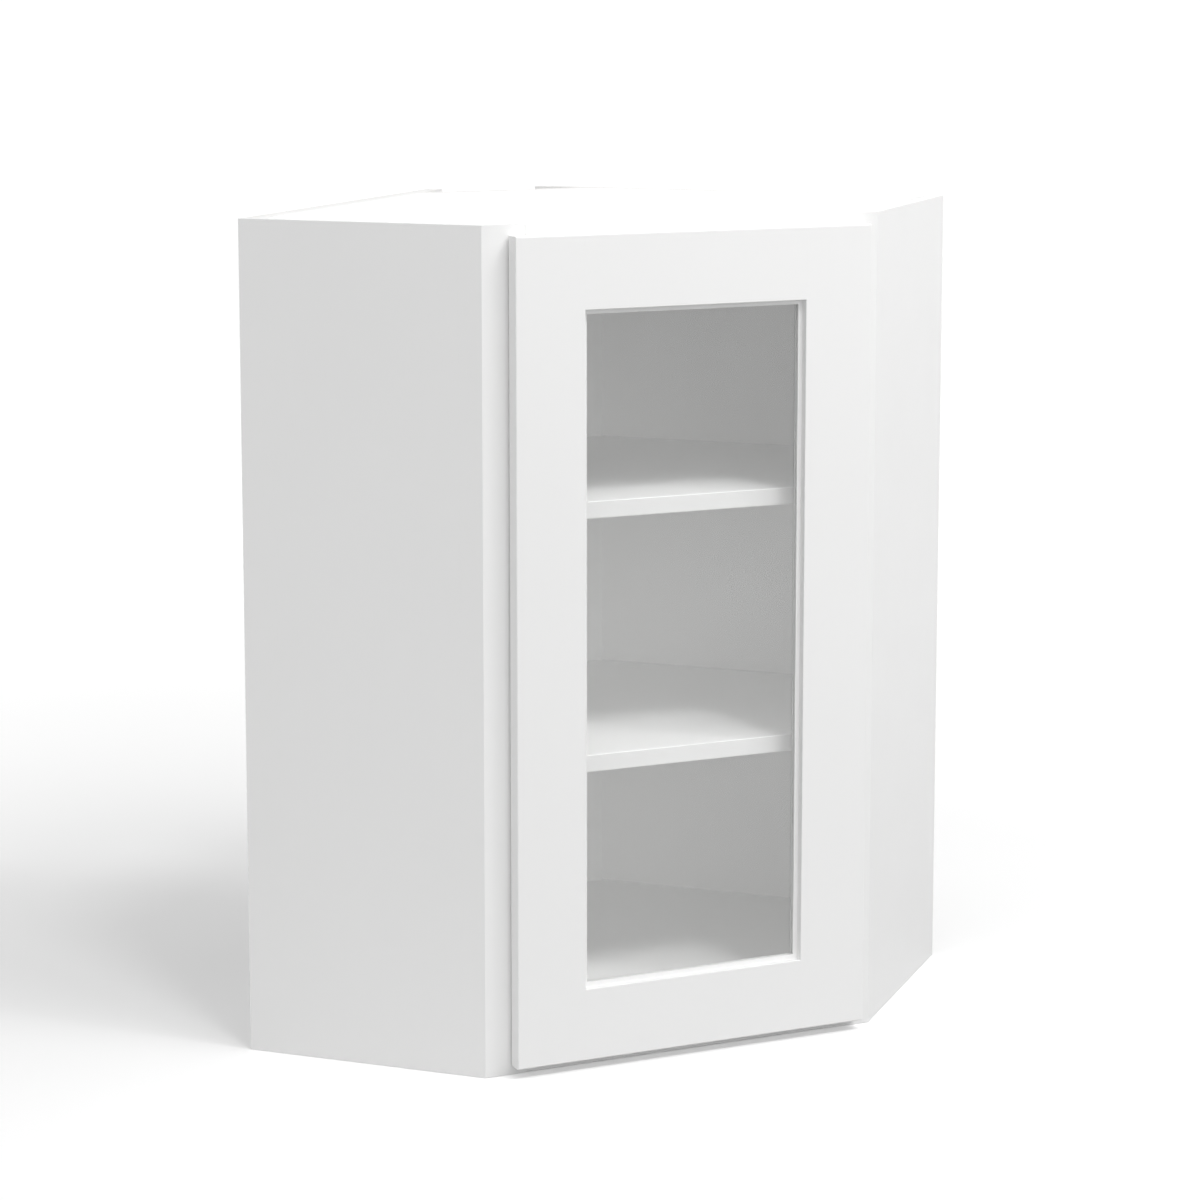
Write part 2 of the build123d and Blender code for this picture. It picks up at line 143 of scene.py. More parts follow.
def startGroup(name, settings, outputs):
    tree = bpy.data.node_groups.new(name, "ShaderNodeTree")
    for label, kind in {"Vector": "Vector", **settings}.items():
        tree.interface.new_socket(label, in_out="INPUT", socket_type="NodeSocket" + kind)
    for label in outputs:
        tree.interface.new_socket(label, in_out="OUTPUT", socket_type="NodeSocketFloat")
    return tree, addNode(tree, "NodeGroupInput").outputs, addNode(tree, "NodeGroupOutput").inputs


noiseSpan = (0.3, 0.7)  # nearly all of a noise's values lie in here

# sprayed paint: fine orange peel over the sanding of the board, with slow drifts of tone and gloss
sprayPattern = dict(
    peel=dict(scale=650.0, detail=2.0, rough=0.45),
    swell=dict(scale=24.0, detail=2.0),
    swellShare=0.6,
    sandingStretch=(1400.0, 1400.0, 160.0),
    tone=dict(scale=3.5, detail=4.0, rough=0.55),
    gloss=dict(scale=19.0, detail=5.0, rough=0.6),
)


def makeSprayedPaint():
    tree, given, out = startGroup("sprayedPaint", {"Sanding": "Float"}, ["Height", "Tone", "Gloss"])
    peel = noise(tree, given["Vector"], **sprayPattern["peel"])
    swell = noise(tree, given["Vector"], **sprayPattern["swell"])
    sanding = noise(tree, stretched(tree, given["Vector"], sprayPattern["sandingStretch"]))
    level = calc(tree, "MULTIPLY_ADD", swell, sprayPattern["swellShare"], peel)
    feed(tree, out["Height"], calc(tree, "MULTIPLY_ADD", sanding, given["Sanding"], level))
    feed(tree, out["Tone"], noise(tree, given["Vector"], **sprayPattern["tone"]))
    feed(tree, out["Gloss"], noise(tree, given["Vector"], **sprayPattern["gloss"]))
    return tree


# grain that shows faintly through paint or plainly on bare wood, longest where the stretch is lowest
grainPattern = dict(
    rings=dict(detail=5.0, rough=0.62),
    pores=dict(scale=7.0, detail=3.0, rough=0.7),
    poreSpan=(0.52, 0.72),
    poreDepth=0.5,
    poreTone=0.25,
)


def makeWoodGrain():
    tree, given, out = startGroup("woodGrain", {"Stretch": "Vector"}, ["Height", "Tone"])
    run = stretched(tree, given["Vector"], given["Stretch"])
    rings = noise(tree, run, **grainPattern["rings"])
    pores = spread(tree, noise(tree, run, **grainPattern["pores"]), *grainPattern["poreSpan"])
    feed(tree, out["Height"], calc(tree, "MULTIPLY_ADD", pores, -grainPattern["poreDepth"], rings))
    feed(tree, out["Tone"], calc(tree, "MULTIPLY_ADD", pores, -grainPattern["poreTone"], rings))
    return tree


# where an edge is rubbed: the rounded normal leaves the face's own, broken up by noise
rubPattern = dict(
    samples=4,
    turnSpan=(0.995, 0.9),
    patches=dict(scale=180.0, detail=4.0, rough=0.6),
    patchSpan=(0.46, 0.66),
)


def makeEdgeRub():
    tree, given, out = startGroup("edgeRub", {"Width": "Float"}, ["Mask"])
    rounded = addNode(tree, "ShaderNodeBevel", samples=rubPattern["samples"])
    feed(tree, rounded.inputs["Radius"], given["Width"])
    turn = dot(tree, rounded.outputs[0], faceNormal(tree))
    edge = spread(tree, turn, *rubPattern["turnSpan"])
    patches = spread(tree, noise(tree, given["Vector"], **rubPattern["patches"]), *rubPattern["patchSpan"])
    feed(tree, out["Mask"], calc(tree, "MULTIPLY", edge, patches))
    return tree


# dust that settles on faces that look up
dustPattern = dict(
    levelSpan=(0.7, 1.0),
    drift=dict(scale=7.0),
    driftSpan=(0.35, 0.7),
    driftLeast=0.25,
    specks=dict(scale=420.0, detail=4.0, rough=0.7),
    speckSpan=(0.5, 0.75),
    speckShare=0.6,
)


def makeSettledDust():
    tree, given, out = startGroup("settledDust", {"Amount": "Float"}, ["Mask"])
    level = spread(tree, facing(tree, 2), *dustPattern["levelSpan"])
    drift = spread(tree, noise(tree, given["Vector"], **dustPattern["drift"]), *dustPattern["driftSpan"],
                   dustPattern["driftLeast"])
    specks = spread(tree, noise(tree, given["Vector"], **dustPattern["specks"]), *dustPattern["speckSpan"])
    share = dustPattern["speckShare"]
    veil = calc(tree, "MULTIPLY", calc(tree, "MULTIPLY", level, drift), given["Amount"])
    broken = calc(tree, "MULTIPLY_ADD", specks, share, 1.0 - share)
    feed(tree, out["Mask"], calc(tree, "MULTIPLY", veil, broken))
    return tree


# drawn or plated metal: fine lines, longest where the stretch is lowest, and soft tarnish
metalPattern = dict(
    lines=dict(detail=2.0),
    spots=dict(scale=420.0, detail=4.0, rough=0.55),
    spotShare=0.5,
    tarnishSpan=(0.35, 0.7),
)


def makeDrawnMetal():
    tree, given, out = startGroup("drawnMetal", {"Stretch": "Vector"}, ["Height", "Tone", "Rough"])
    lines = noise(tree, stretched(tree, given["Vector"], given["Stretch"]), **metalPattern["lines"])
    spots = noise(tree, given["Vector"], **metalPattern["spots"])
    share = metalPattern["spotShare"]
    dull = calc(tree, "MULTIPLY", lines, 1.0 - share)
    feed(tree, out["Height"], lines)
    feed(tree, out["Tone"], calc(tree, "MULTIPLY_ADD", spots, share, dull))
    feed(tree, out["Rough"], spots)
    return tree


groups = {
    "paint": makeSprayedPaint(),
    "grain": makeWoodGrain(),
    "rub": makeEdgeRub(),
    "dust": makeSettledDust(),
    "metal": makeDrawnMetal(),
}
print("shader groups:", len(groups))


def place(tree, name, vector, **values):
    node = addNode(tree, "ShaderNodeGroup", node_tree=groups[name])
    feed(tree, node.inputs["Vector"], vector)
    for label, value in values.items():
        feed(tree, node.inputs[label], value)
    return node.outputs


def startMaterial(name):
    material = bpy.data.materials.new(name)
    material.use_nodes = True
    tree = material.node_tree
    tree.nodes.clear()
    shader = addNode(tree, "ShaderNodeBsdfPrincipled")
    feed(tree, addNode(tree, "ShaderNodeOutputMaterial").inputs["Surface"], shader.outputs[0])
    return material, tree, shader, addNode(tree, "ShaderNodeTexCoord").outputs["Object"]


def relief(tree, shader, height, depth):
    bump = addNode(tree, "ShaderNodeBump")
    feed(tree, bump.inputs["Strength"], 1.0)
    feed(tree, bump.inputs["Distance"], depth)
    feed(tree, bump.inputs["Height"], height)
    feed(tree, shader.inputs["Normal"], bump.outputs[0])


# painted woods: colour, its slow drift, gloss range, relief in metres, grain stretch, rub, dust and
# sanding, and on the shelf a painted shade for its front edge
paintFinishes = {
    "cabinetPaint": dict(colour=(0.88, 0.88, 0.877), drift=0.024, gloss=(0.36, 0.46), depth=3.5e-5,
                         grain=(110.0, 110.0, 6.0), grainShare=0.35, rub=0.10, dust=0.10, sanding=0.25),
    "doorStilePaint": dict(colour=(0.88, 0.88, 0.877), drift=0.02, gloss=(0.32, 0.42), depth=3e-5,
                           grain=(120.0, 120.0, 6.0), grainShare=0.3, rub=0.10, dust=0.08, sanding=0.2),
    "doorRailPaint": dict(colour=(0.88, 0.88, 0.877), drift=0.02, gloss=(0.32, 0.42), depth=3e-5,
                          grain=(6.0, 120.0, 120.0), grainShare=0.3, rub=0.10, dust=0.08, sanding=0.2),
    "beadPaint": dict(colour=(0.88, 0.88, 0.875), drift=0.024, gloss=(0.38, 0.5), depth=3e-5,
                      grain=(90.0, 90.0, 20.0), grainShare=0.25, rub=0.14, dust=0.08, sanding=0.4),
    "interiorPaint": dict(colour=(0.92, 0.92, 0.916), drift=0.032, gloss=(0.5, 0.62), depth=1e-5,
                          grain=(80.0, 80.0, 5.0), grainShare=0.5, rub=0.06, dust=0.16, sanding=0.5),
    "shelfPaint": dict(colour=(0.92, 0.92, 0.916), drift=0.024, gloss=(0.4, 0.52), depth=2.5e-5,
                       grain=(5.0, 90.0, 90.0), grainShare=0.35, rub=0.12, dust=0.14, sanding=0.3,
                       paintedEdgeShade=(0.785, 0.785, 0.78)),
}
# what all of them share: primer shows where the paint is thin, and a shelf's front edge gets painted shade,
# a deeper tone on faces that look to the front
paintLayers = dict(grainTone=0.4, driftSpan=(0.45, 0.95), driftMost=0.6, edgeShadeSpan=(-0.8, -0.97),
                   rubWidth=0.0012, rubbedColour=(0.74, 0.725, 0.7), dustColour=(0.8, 0.79, 0.775),
                   dustRough=0.5)


def makePaint(name):
    finish = paintFinishes[name]
    material, tree, shader, vector = startMaterial(name)
    paint = place(tree, "paint", vector, Sanding=finish["sanding"])
    grain = place(tree, "grain", vector, Stretch=finish["grain"])
    rub = place(tree, "rub", vector, Width=paintLayers["rubWidth"])
    dust = place(tree, "dust", vector, Amount=finish["dust"])
    grainTone = finish["grainShare"] * paintLayers["grainTone"]
    wander = calc(tree, "MULTIPLY_ADD", grain["Tone"], grainTone, paint["Tone"])
    drift = spread(tree, wander, *paintLayers["driftSpan"], 0.0, paintLayers["driftMost"])
    deeper = [part * (1 - finish["drift"]) for part in finish["colour"]]
    colour = blendColour(tree, drift, finish["colour"], deeper)
    # painted shade: faces that look to the front, as the shelf's front edge does, are made a deeper tone
    if "paintedEdgeShade" in finish:
        front = spread(tree, facing(tree, 1), *paintLayers["edgeShadeSpan"])
        colour = blendColour(tree, front, colour, finish["paintedEdgeShade"])
    rubbed = calc(tree, "MULTIPLY", rub["Mask"], finish["rub"])
    colour = blendColour(tree, rubbed, colour, paintLayers["rubbedColour"])
    colour = blendColour(tree, dust["Mask"], colour, paintLayers["dustColour"])
    feed(tree, shader.inputs["Base Color"], colour)
    sheen = spread(tree, paint["Gloss"], *noiseSpan, *finish["gloss"])
    rough = calc(tree, "MULTIPLY_ADD", dust["Mask"], paintLayers["dustRough"], sheen)
    feed(tree, shader.inputs["Roughness"], rough)
    height = calc(tree, "MULTIPLY_ADD", grain["Height"], finish["grainShare"], paint["Height"])
    relief(tree, shader, height, finish["depth"])
    return material


railLook = dict(colour=(0.88, 0.877, 0.87), deeper=(0.83, 0.825, 0.812), rough=(0.62, 0.8), depth=1.2e-4,
                stretch=(14.0, 14.0, 160.0), rub=0.2, rubWidth=0.0015, rubbed=(0.74, 0.71, 0.66))


def makeRailWood():
    material, tree, shader, vector = startMaterial("railWood")
    grain = place(tree, "grain", vector, Stretch=railLook["stretch"])
    rub = place(tree, "rub", vector, Width=railLook["rubWidth"])
    deep = spread(tree, grain["Tone"], *noiseSpan)
    colour = blendColour(tree, deep, railLook["colour"], railLook["deeper"])
    rubbed = calc(tree, "MULTIPLY", rub["Mask"], railLook["rub"])
    feed(tree, shader.inputs["Base Color"], blendColour(tree, rubbed, colour, railLook["rubbed"]))
    feed(tree, shader.inputs["Roughness"], spread(tree, grain["Tone"], *noiseSpan, *railLook["rough"]))
    relief(tree, shader, grain["Height"], railLook["depth"])
    return material


# plated and bright metals: colour, tarnish colour, roughness range, relief, line stretch
metalFinishes = {
    "hingeNickel": dict(colour=(0.71, 0.7, 0.68), tarnish=(0.62, 0.61, 0.58), rough=(0.2, 0.3),
                        depth=5e-6, stretch=(3000.0, 150.0, 3000.0)),
    "pinSteel": dict(colour=(0.6, 0.6, 0.6), tarnish=(0.5, 0.5, 0.5), rough=(0.14, 0.24),
                     depth=4e-6, stretch=(4000.0, 4000.0, 120.0)),
    "supportNickel": dict(colour=(0.7, 0.69, 0.67), tarnish=(0.6, 0.59, 0.56), rough=(0.24, 0.36),
                          depth=7e-6, stretch=(2600.0, 2600.0, 140.0)),
    "screwSteel": dict(colour=(0.66, 0.655, 0.635), tarnish=(0.54, 0.53, 0.5), rough=(0.22, 0.34),
                       depth=5e-6, stretch=(3200.0, 3200.0, 3200.0)),
}


def makeMetal(name):
    finish = metalFinishes[name]
    material, tree, shader, vector = startMaterial(name)
    metal = place(tree, "metal", vector, Stretch=finish["stretch"])
    tarnished = spread(tree, metal["Tone"], *metalPattern["tarnishSpan"])
    colour = blendColour(tree, tarnished, finish["colour"], finish["tarnish"])
    feed(tree, shader.inputs["Base Color"], colour)
    feed(tree, shader.inputs["Roughness"], spread(tree, metal["Rough"], *noiseSpan, *finish["rough"]))
    feed(tree, shader.inputs["Metallic"], 1.0)
    relief(tree, shader, metal["Height"], finish["depth"])
    return material


glassLook = dict(
    colour=(0.992, 0.994, 0.992), through=(0.968, 0.97, 0.969), ior=1.58,
    smeared=(0.965, 0.966, 0.964), smear=dict(detail=6.0, rough=0.65), smearStretch=(9.0, 9.0, 4.0),
    smearSpan=(0.5, 0.8), wave=dict(scale=5.0, detail=1.0), waveDepth=1.5e-5,
)


def makeClearGlass():
    material, tree, shader, vector = startMaterial("clearGlass")
    feed(tree, shader.inputs["Transmission Weight"], 1.0)
    feed(tree, shader.inputs["IOR"], glassLook["ior"])
    feed(tree, shader.inputs["Roughness"], 0.0)
    smear = noise(tree, stretched(tree, vector, glassLook["smearStretch"]), **glassLook["smear"])
    smeared = spread(tree, smear, *glassLook["smearSpan"])
    colour = blendColour(tree, smeared, glassLook["colour"], glassLook["smeared"])
    feed(tree, shader.inputs["Base Color"], colour)
    relief(tree, shader, noise(tree, vector, **glassLook["wave"]), glassLook["waveDepth"])
    clear = addNode(tree, "ShaderNodeBsdfTransparent")  # light passes the pane straight, without caustics
    feed(tree, clear.inputs["Color"], (*glassLook["through"], 1.0))
    path = addNode(tree, "ShaderNodeLightPath").outputs
    straight = calc(tree, "MAXIMUM", path["Is Shadow Ray"], path["Is Diffuse Ray"])
    pane = blendShader(tree, straight, shader.outputs[0], clear.outputs[0])
    feed(tree, tree.get_output_node("ALL").inputs["Surface"], pane)
    return material


bumperLook = dict(colour=(0.8, 0.81, 0.81), clouded=(0.7, 0.71, 0.715), rough=(0.18, 0.32), clearness=0.5,
                  cloud=dict(scale=300.0), grit=dict(scale=2200.0, detail=2.0), depth=8e-6)


def makeBumperPlastic():
    material, tree, shader, vector = startMaterial("bumperPlastic")
    cloud = noise(tree, vector, **bumperLook["cloud"])
    colour = blendColour(tree, cloud, bumperLook["colour"], bumperLook["clouded"])
    feed(tree, shader.inputs["Base Color"], colour)
    feed(tree, shader.inputs["Roughness"], spread(tree, cloud, *noiseSpan, *bumperLook["rough"]))
    feed(tree, shader.inputs["Transmission Weight"], bumperLook["clearness"])
    relief(tree, shader, noise(tree, vector, **bumperLook["grit"]), bumperLook["depth"])
    return material


finishes = {name: makePaint(name) for name in paintFinishes}
finishes.update({name: makeMetal(name) for name in metalFinishes})
finishes["railWood"] = makeRailWood()
finishes["clearGlass"] = makeClearGlass()
finishes["bumperPlastic"] = makeBumperPlastic()
print("finishes:", len(finishes))

slotFinish = {
    "cabinet_paint": "cabinetPaint",
    "interior_paint": "interiorPaint",
    "shelf_paint": "shelfPaint",
    "rail_wood": "railWood",
    "door_paint": "doorStilePaint",
    "bead_paint": "beadPaint",
    "clear_glass": "clearGlass",
    "bumper_plastic": "bumperPlastic",
    "hinge_nickel": "hingeNickel",
    "pin_steel": "pinSteel",
    "support_nickel": "supportNickel",
    "screw_steel": "screwSteel",
}
# the door's rails have their grain across
ownFinish = {"door_top_rail": "doorRailPaint", "door_bottom_rail": "doorRailPaint"}

for part in frame["record"]["subparts"]:
    finish = finishes[ownFinish.get(part["node"], slotFinish[part["material_slot"]])]
    for slot in cadNodes[part["node"]].material_slots:
        slot.material = finish
print("finishes given to the cabinet's pieces")

# what every hinge screw has: shares of its own sizes, counts of steps and sides, and an angle in degrees
screwForm = dict(
    tip=0.12, barDepth=1.6, hollowSides=8, hollowTop=0.5, hollowFoot=1.1, hollowDepth=1.5, hollowSunk=0.5,
    threadLead=0.6, threadSteps=14, threadSides=4, threadFade=0.06, threadEnd=0.1, smoothBelow=32.0,
)
# each screw's sizes in metres, as in the CAD, with the thread's crest inside the bore
flatScrew = {
    "Crown Radius": 0.0031, "Crown Depth": 0.0001, "Head Radius": 0.0032, "Edge Depth": 0.0003,
    "Neck Depth": 0.0018, "Core Radius": 0.00115, "Length": 0.016, "Tip Length": 0.0028,
    "Thread Pitch": 0.0013, "Thread Height": 0.00042, "Recess Width": 0.0036, "Bar Width": 0.00085,
    "Recess Depth": 0.0012, "Sides": 32, "Turn Seed": 3,
}
cupScrew = dict(flatScrew, **{"Length": 0.01, "Turn Seed": 8})
armScrew = {
    "Crown Radius": 0.0029, "Crown Depth": 0.0008, "Head Radius": 0.004, "Edge Depth": 0.0021,
    "Neck Depth": 0.0022, "Core Radius": 0.0015, "Length": 0.0182, "Tip Length": 0.003,
    "Thread Pitch": 0.0016, "Thread Height": 0.00047, "Recess Width": 0.0046, "Bar Width": 0.001,
    "Recess Depth": 0.0014, "Sides": 36, "Turn Seed": 5,
}
otherKinds = {"Sides": "Int", "Turn Seed": "Int", "Finish": "Material"}  # the rest are lengths


def pick(tree, ring, values):  # one value for each ring of the turned blank
    node = addNode(tree, "GeometryNodeIndexSwitch", data_type="FLOAT")
    while len(node.index_switch_items) < len(values):
        node.index_switch_items.new()
    return feedAll(tree, node, ring, *values)


def moved(tree, shape, shift=(0.0, 0.0, 0.0), turn=(0.0, 0.0, 0.0)):
    node = addNode(tree, "GeometryNodeTransform")
    feed(tree, node.inputs["Geometry"], shape)
    feed(tree, node.inputs["Translation"], shift)
    feed(tree, node.inputs["Rotation"], turn)
    return node.outputs[0]


def makeBlank(tree, given):  # a cylinder with its rings drawn in to the head, neck, core and tip
    crown, head, core = given["Crown Radius"], given["Head Radius"], given["Core Radius"]
    radii = (crown, head, head, core, core, calc(tree, "MULTIPLY", core, screwForm["tip"]))
    tipStart = calc(tree, "SUBTRACT", given["Length"], given["Tip Length"])
    depths = (0.0, given["Crown Depth"], given["Edge Depth"], given["Neck Depth"], tipStart,
              given["Length"])
    gaps = len(radii) - 1
    tube = addNode(tree, "GeometryNodeMeshCylinder", fill_type="NGON")
    feed(tree, tube.inputs["Vertices"], given["Sides"])
    feed(tree, tube.inputs["Side Segments"], gaps)
    feed(tree, tube.inputs["Radius"], 1.0)
    feed(tree, tube.inputs["Depth"], float(gaps))
    x, y, z = splitUp(tree, addNode(tree, "GeometryNodeInputPosition").outputs[0])
    ring = calc(tree, "ROUND", calc(tree, "ADD", z, gaps / 2))
    radius = pick(tree, ring, radii)
    drawnIn = addNode(tree, "GeometryNodeSetPosition")
    feed(tree, drawnIn.inputs["Geometry"], tube.outputs["Mesh"])
    feed(tree, drawnIn.inputs["Position"],
         combine(tree, calc(tree, "MULTIPLY", x, radius), calc(tree, "MULTIPLY", y, radius),
                 pick(tree, ring, depths)))
    return drawnIn.outputs[0]


def makeRecess(tree, given):  # two crossed bars and a hollow where they meet
    wide, deep = given["Bar Width"], given["Recess Depth"]
    cut = addNode(tree, "GeometryNodeMeshBoolean", operation="DIFFERENCE", solver="EXACT")
    bar = addNode(tree, "GeometryNodeMeshCube")
    barDepth = calc(tree, "MULTIPLY", deep, screwForm["barDepth"])
    feed(tree, bar.inputs["Size"], combine(tree, given["Recess Width"], wide, barDepth))
    hollow = addNode(tree, "GeometryNodeMeshCone", fill_type="NGON")
    feed(tree, hollow.inputs["Vertices"], screwForm["hollowSides"])
    feed(tree, hollow.inputs["Radius Top"], calc(tree, "MULTIPLY", wide, screwForm["hollowTop"]))
    feed(tree, hollow.inputs["Radius Bottom"], calc(tree, "MULTIPLY", wide, screwForm["hollowFoot"]))
    feed(tree, hollow.inputs["Depth"], calc(tree, "MULTIPLY", deep, screwForm["hollowDepth"]))
    sink = combine(tree, 0.0, 0.0, calc(tree, "MULTIPLY", deep, -screwForm["hollowSunk"]))
    halfSide = (0.0, 0.0, math.pi / screwForm["hollowSides"])
    for shape in (bar.outputs["Mesh"],
                  moved(tree, bar.outputs["Mesh"], turn=(0.0, 0.0, math.pi / 2)),
                  moved(tree, hollow.outputs["Mesh"], shift=sink, turn=halfSide)):
        tree.links.new(shape, cut.inputs["Mesh 2"])
    return cut


def makeThread(tree, given):  # a ridge wound round the core, thinned out at both ends
    start = calc(tree, "MULTIPLY_ADD", given["Thread Pitch"], screwForm["threadLead"], given["Neck Depth"])
    run = calc(tree, "SUBTRACT", calc(tree, "SUBTRACT", given["Length"], given["Tip Length"]), start)
    coil = addNode(tree, "GeometryNodeCurveSpiral")
    feed(tree, coil.inputs["Resolution"], screwForm["threadSteps"])
    feed(tree, coil.inputs["Rotations"], calc(tree, "DIVIDE", run, given["Thread Pitch"]))
    feed(tree, coil.inputs["Start Radius"], given["Core Radius"])
    feed(tree, coil.inputs["End Radius"], given["Core Radius"])
    feed(tree, coil.inputs["Height"], run)
    feed(tree, coil.inputs["Reverse"], True)  # a right-hand thread
    level = addNode(tree, "GeometryNodeSetCurveNormal", mode="Z_UP")
    feed(tree, level.inputs["Curve"], coil.outputs[0])
    along = addNode(tree, "GeometryNodeSplineParameter").outputs["Factor"]
    toEnd = calc(tree, "MINIMUM", along, calc(tree, "SUBTRACT", 1.0, along))
    thin = spread(tree, toEnd, 0.0, screwForm["threadFade"], screwForm["threadEnd"])
    ridge = addNode(tree, "GeometryNodeCurvePrimitiveCircle")
    feed(tree, ridge.inputs["Resolution"], screwForm["threadSides"])
    feed(tree, ridge.inputs["Radius"], given["Thread Height"])
    sweep = addNode(tree, "GeometryNodeCurveToMesh")
    feed(tree, sweep.inputs["Curve"], level.outputs[0])
    feed(tree, sweep.inputs["Profile Curve"], ridge.outputs["Curve"])
    feed(tree, sweep.inputs["Scale"], thin)
    feed(tree, sweep.inputs["Fill Caps"], True)
    return moved(tree, sweep.outputs[0], shift=combine(tree, 0.0, 0.0, start))


# one node tree turns a screw of any size and sets it at every point, along the point's aim
def makeScrewTree():
    tree = bpy.data.node_groups.new("hingeScrews", "GeometryNodeTree")
    tree.interface.new_socket("Places", in_out="INPUT", socket_type="NodeSocketGeometry")
    for label in (*flatScrew, "Finish"):
        kind = otherKinds.get(label, "Float")
        tree.interface.new_socket(label, in_out="INPUT", socket_type="NodeSocket" + kind)
    tree.interface.new_socket("Screws", in_out="OUTPUT", socket_type="NodeSocketGeometry")
    given = addNode(tree, "NodeGroupInput").outputs
    head = makeRecess(tree, given)
    feed(tree, head.inputs["Mesh 1"], makeBlank(tree, given))
    join = addNode(tree, "GeometryNodeJoinGeometry")
    tree.links.new(head.outputs["Mesh"], join.inputs[0])
    tree.links.new(makeThread(tree, given), join.inputs[0])
    aim = addNode(tree, "GeometryNodeInputNamedAttribute", data_type="FLOAT_VECTOR")
    feed(tree, aim.inputs["Name"], "aim")
    face = addNode(tree, "FunctionNodeAlignRotationToVector", axis="Z")
    feed(tree, face.inputs["Vector"], aim.outputs["Attribute"])
    spin = addNode(tree, "FunctionNodeRandomValue", data_type="FLOAT")
    spinInputs = {socket.name: socket for socket in spin.inputs if socket.enabled}
    feed(tree, spinInputs["Min"], 0.0)
    feed(tree, spinInputs["Max"], math.pi / 2)  # a cross recess looks the same after a quarter turn
    feed(tree, spinInputs["Seed"], given["Turn Seed"])
    turn = addNode(tree, "FunctionNodeAxisAngleToRotation")
    feed(tree, turn.inputs["Axis"], (0.0, 0.0, 1.0))
    feed(tree, turn.inputs["Angle"], next(socket for socket in spin.outputs if socket.enabled))
    driven = addNode(tree, "FunctionNodeRotateRotation", rotation_space="LOCAL")
    feedAll(tree, driven, face.outputs[0], turn.outputs[0])
    setAt = addNode(tree, "GeometryNodeInstanceOnPoints")
    feed(tree, setAt.inputs["Points"], given["Places"])
    feed(tree, setAt.inputs["Instance"], join.outputs[0])
    feed(tree, setAt.inputs["Rotation"], driven.outputs[0])
    real = addNode(tree, "GeometryNodeRealizeInstances")
    feed(tree, real.inputs[0], setAt.outputs[0])
    finish = addNode(tree, "GeometryNodeSetMaterial")
    feed(tree, finish.inputs["Geometry"], real.outputs[0])
    feed(tree, finish.inputs["Material"], given["Finish"])
    feed(tree, addNode(tree, "NodeGroupOutput").inputs[0], finish.outputs[0])
    return tree


def driveScrews(name, body, nodes, look, spots):
    mesh = bpy.data.meshes.new(name)
    mesh.from_pydata([spot for spot, aim in spots], [], [])
    aims = mesh.attributes.new("aim", "FLOAT_VECTOR", "POINT")
    for item, (spot, aim) in zip(aims.data, spots):
        item.vector = aim
    screws = bpy.data.objects.new(name, mesh)
    scene.collection.objects.link(screws)
    modifier = screws.modifiers.new("screws", "NODES")
    modifier.node_group = screwTree
    settings = dict(look, Finish=finishes["screwSteel"])
    for socket in screwTree.interface.items_tree:
        if socket.name in settings:
            modifier[socket.identifier] = settings[socket.name]
    whole = bpy.data.meshes.new_from_object(screws.evaluated_get(bpy.context.evaluated_depsgraph_get()))
    screws.modifiers.remove(modifier)
    screws.data = whole
    whole.materials.clear()
    whole.materials.append(finishes["screwSteel"])
    whole.polygons.foreach_set("material_index", [0] * len(whole.polygons))
    whole.shade_smooth()
    whole.set_sharp_from_angle(angle=math.radians(screwForm["smoothBelow"]))
    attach(screws, body)
    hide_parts(*nodes)
    print("screws:", name, len(spots), "with", len(whole.polygons), "faces")


def flatPair(node, axis, way):  # two heads flush with what they hold, one above the other
    low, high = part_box(node)
    aim = Vector([float(way) if n == axis else 0.0 for n in range(3)])
    spots = []
    for z in (low.z + flatScrew["Head Radius"], high.z - flatScrew["Head Radius"]):
        spot = (low + high) / 2
        spot.z = z
        spot[axis] = high[axis] if way < 0 else low[axis]
        spots.append((spot, aim))
    return spots


def armSpot(node):  # the head stands proud, so the screw starts where its box does
    low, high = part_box(node)
    return Vector((low.x, (low.y + high.y) / 2, (low.z + high.z) / 2)), Vector((1.0, 0.0, 0.0))


screwTree = makeScrewTree()
hinges = ("lower", "upper")
cupNodes = [hinge + "_cup_screws" for hinge in hinges]
plateNodes = [hinge + "_plate_screws" for hinge in hinges]
armNodes = [hinge + "_arm_screw" for hinge in hinges]
driveScrews("cupScrews", "door", cupNodes, cupScrew,
            [pair for node in cupNodes for pair in flatPair(node, axis=1, way=-1)])
driveScrews("plateScrews", "case", plateNodes, flatScrew,
            [pair for node in plateNodes for pair in flatPair(node, axis=0, way=1)])
driveScrews("armScrews", "case", armNodes, armScrew, [armSpot(node) for node in armNodes])

white = (1.0, 1.0, 1.0, 1.0)

# a wide pale floor: its greys, and a glow that grows from one distance to another
floorLook = dict(radius=140.0, sides=96, drop=0.0004, seen=0.774, patchTone=0.985, patchScale=1.5,
                 lighting=0.44, nearGlow=0.283, farGlow=0.602, glowFrom=0.9, glowTo=2.9, mirrored=0.75)


def grey(share):
    return share, share, share


